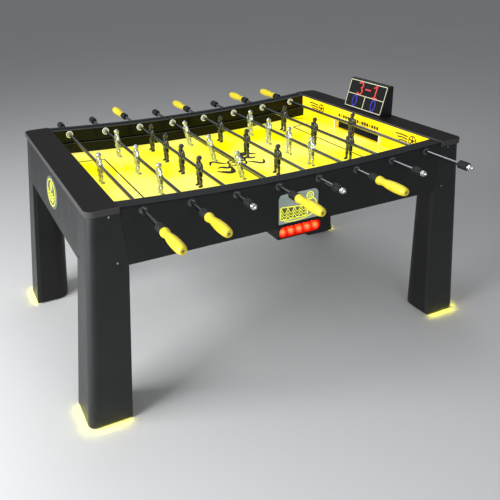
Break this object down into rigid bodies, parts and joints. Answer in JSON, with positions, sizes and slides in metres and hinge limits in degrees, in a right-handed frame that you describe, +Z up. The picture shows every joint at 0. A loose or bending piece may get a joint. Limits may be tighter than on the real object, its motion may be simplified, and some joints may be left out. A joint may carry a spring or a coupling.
{
  "type": "table football table",
  "caption": "Table football table with a splayed four-leg cabinet, a dipped back-lit playfield, sliding and spinning player rods, ball tray and scoreboard.",
  "frame": {"origin": "on the floor under the middle of the table", "axes": "+X along the table towards the scoreboard end, +Y towards the side with the dark team handles, +Z up"},
  "size_m": [1.6906, 1.66, 0.93],
  "materials": {
    "black_laminate": "satin black laminate on board",
    "gloss_laminate": "high-gloss black laminate on board",
    "cap_laminate": "fine-textured black laminate with a grey edge band",
    "leg_laminate": "satin black laminate on bent board",
    "leg_liner_board": "black lacquered bent board",
    "rail_trim": "black extruded trim",
    "yellow_acrylic": "printed yellow acrylic",
    "white_enamel": "white powder coat",
    "field_glass": "yellow back-printed toughened glass with dark pitch lines",
    "tray_aluminium": "folded aluminium sheet",
    "white_nylon": "moulded nylon",
    "black_nylon": "moulded nylon",
    "box_abs": "moulded ABS",
    "tray_abs": "moulded ABS, lit red",
    "chute_abs": "moulded ABS",
    "score_abs": "moulded ABS",
    "score_acrylic": "smoked acrylic over lit digits",
    "badge_aluminium": "brushed and anodised sheet with a lit yellow line motif",
    "glide_rubber": "moulded rubber",
    "led_strip": "lit strip diffuser",
    "screw_steel": "zinc-plated steel",
    "ball_resin": "cast resin, lit red from the tray",
    "rod_steel": "ground and chromed steel",
    "buffer_rubber": "moulded rubber",
    "yellow_grip": "moulded yellow plastic",
    "cast_aluminium": "polished casting",
    "dark_enamel": "dark blue-black enamel on casting"
  },
  "bodies": {
    "root": {"side_panel_front": "black_laminate", "side_panel_back": "black_laminate", "inner_walls": "gloss_laminate", "end_panels": "black_laminate", "goal_walls": "yellow_acrylic", "end_cap_left": "cap_laminate", "end_cap_right": "cap_laminate", "top_rails": "rail_trim", "leg_front_left": "leg_laminate", "leg_front_right": "leg_laminate", "leg_back_left": "leg_laminate", "leg_back_right": "leg_laminate", "leg_liners": "leg_liner_board", "goal_frames": "white_enamel", "playfield_glass": "field_glass", "light_tray": "tray_aluminium", "rod_bushings": "white_nylon", "bushing_rings": "black_nylon", "ball_box": "box_abs", "ball_tray": "tray_abs", "ball_chutes": "chute_abs", "scoreboard_case": "score_abs", "scoreboard_display": "score_acrylic", "badge_plates": "badge_aluminium", "foot_glides": "glide_rubber", "foot_lights": "led_strip", "cabinet_screws": "screw_steel"},
    "rod_1_slide_body": {"rod_1_buffers": "buffer_rubber"},
    "rod_1_spin_body": {"rod_1_bar": "rod_steel", "rod_1_figures": "cast_aluminium", "rod_1_handle": "yellow_grip"},
    "rod_2_slide_body": {"rod_2_buffers": "buffer_rubber"},
    "rod_2_spin_body": {"rod_2_bar": "rod_steel", "rod_2_figures": "cast_aluminium", "rod_2_handle": "yellow_grip"},
    "rod_3_slide_body": {"rod_3_buffers": "buffer_rubber"},
    "rod_3_spin_body": {"rod_3_bar": "rod_steel", "rod_3_figures": "dark_enamel", "rod_3_handle": "yellow_grip"},
    "rod_4_slide_body": {"rod_4_buffers": "buffer_rubber"},
    "rod_4_spin_body": {"rod_4_bar": "rod_steel", "rod_4_figures": "cast_aluminium", "rod_4_handle": "yellow_grip"},
    "rod_5_slide_body": {"rod_5_buffers": "buffer_rubber"},
    "rod_5_spin_body": {"rod_5_bar": "rod_steel", "rod_5_figures": "dark_enamel", "rod_5_handle": "yellow_grip"},
    "rod_6_slide_body": {"rod_6_buffers": "buffer_rubber"},
    "rod_6_spin_body": {"rod_6_bar": "rod_steel", "rod_6_figures": "cast_aluminium", "rod_6_handle": "yellow_grip"},
    "rod_7_slide_body": {"rod_7_buffers": "buffer_rubber"},
    "rod_7_spin_body": {"rod_7_bar": "rod_steel", "rod_7_figures": "dark_enamel", "rod_7_handle": "yellow_grip"},
    "rod_8_slide_body": {"rod_8_buffers": "buffer_rubber"},
    "rod_8_spin_body": {"rod_8_bar": "rod_steel", "rod_8_figures": "dark_enamel", "rod_8_handle": "yellow_grip"},
    "balls_body": {"game_balls": "ball_resin"}
  },
  "joints": [
    {"name": "rod_1_push_pull", "type": "slide", "parent": "root", "child": "rod_1_slide_body", "axis": [0, 1, 0], "range_m": [-0.08, 0.13]},
    {"name": "rod_1_spin", "type": "hinge", "parent": "rod_1_slide_body", "child": "rod_1_spin_body", "pos_m": [-0.5775, 0, 0.77269], "axis": [0, 1, 0], "continuous": true},
    {"name": "rod_2_push_pull", "type": "slide", "parent": "root", "child": "rod_2_slide_body", "axis": [0, 1, 0], "range_m": [-0.13, 0.08]},
    {"name": "rod_2_spin", "type": "hinge", "parent": "rod_2_slide_body", "child": "rod_2_spin_body", "pos_m": [-0.4125, 0, 0.76417], "axis": [0, 1, 0], "continuous": true},
    {"name": "rod_3_push_pull", "type": "slide", "parent": "root", "child": "rod_3_slide_body", "axis": [0, 1, 0], "range_m": [-0.147, 0.063]},
    {"name": "rod_3_spin", "type": "hinge", "parent": "rod_3_slide_body", "child": "rod_3_spin_body", "pos_m": [-0.2475, 0, 0.75849], "axis": [0, 1, 0], "continuous": true},
    {"name": "rod_4_push_pull", "type": "slide", "parent": "root", "child": "rod_4_slide_body", "axis": [0, 1, 0], "range_m": [-0.137, 0.073]},
    {"name": "rod_4_spin", "type": "hinge", "parent": "rod_4_slide_body", "child": "rod_4_spin_body", "pos_m": [-0.0825, 0, 0.75565], "axis": [0, 1, 0], "continuous": true},
    {"name": "rod_5_push_pull", "type": "slide", "parent": "root", "child": "rod_5_slide_body", "axis": [0, 1, 0], "range_m": [-0.125, 0.085]},
    {"name": "rod_5_spin", "type": "hinge", "parent": "rod_5_slide_body", "child": "rod_5_spin_body", "pos_m": [0.0825, 0, 0.75565], "axis": [0, 1, 0], "continuous": true},
    {"name": "rod_6_push_pull", "type": "slide", "parent": "root", "child": "rod_6_slide_body", "axis": [0, 1, 0], "range_m": [-0.135, 0.075]},
    {"name": "rod_6_spin", "type": "hinge", "parent": "rod_6_slide_body", "child": "rod_6_spin_body", "pos_m": [0.2475, 0, 0.75849], "axis": [0, 1, 0], "continuous": true},
    {"name": "rod_7_push_pull", "type": "slide", "parent": "root", "child": "rod_7_slide_body", "axis": [0, 1, 0], "range_m": [-0.101, 0.109]},
    {"name": "rod_7_spin", "type": "hinge", "parent": "rod_7_slide_body", "child": "rod_7_spin_body", "pos_m": [0.4125, 0, 0.76417], "axis": [0, 1, 0], "continuous": true},
    {"name": "rod_8_push_pull", "type": "slide", "parent": "root", "child": "rod_8_slide_body", "axis": [0, 1, 0], "range_m": [-0.049, 0.161]},
    {"name": "rod_8_spin", "type": "hinge", "parent": "rod_8_slide_body", "child": "rod_8_spin_body", "pos_m": [0.5775, 0, 0.77269], "axis": [0, 1, 0], "continuous": true},
    {"name": "balls_take_out", "type": "slide", "parent": "root", "child": "balls_body", "axis": [0, -1, 0], "range_m": [0, 0.06]}
  ]
}
